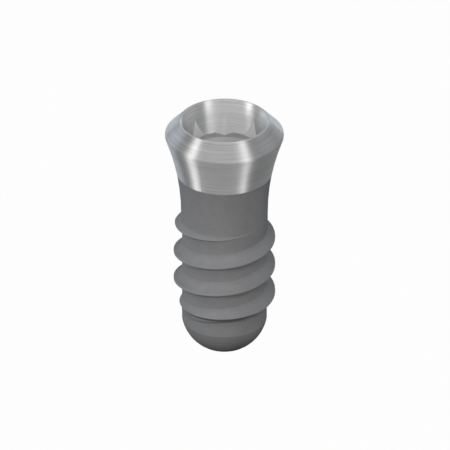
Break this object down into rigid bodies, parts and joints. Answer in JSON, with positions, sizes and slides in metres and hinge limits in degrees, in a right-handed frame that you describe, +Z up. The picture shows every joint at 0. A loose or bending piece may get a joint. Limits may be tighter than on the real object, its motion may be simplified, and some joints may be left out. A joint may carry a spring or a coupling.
{
  "type": "dental implant",
  "caption": "Tissue-level dental implant: flared polished collar with bevelled rim, conical socket with internal octagon, and a rough cylindrical body with a coarse thread and rounded tip",
  "frame": {"origin": "centre of the small flat at the tip, on the axis of the implant", "axes": "+Z runs up the axis from the tip to the mouth of the socket; -Y is the front as pictured; one corner of the octagon points along +Y"},
  "size_m": [0.0048, 0.0048, 0.0103],
  "materials": {
    "titanium": "titanium: fine turned collar and socket, blasted and etched grey body"
  },
  "bodies": {
    "root": {"implant": "titanium"}
  },
  "joints": []
}
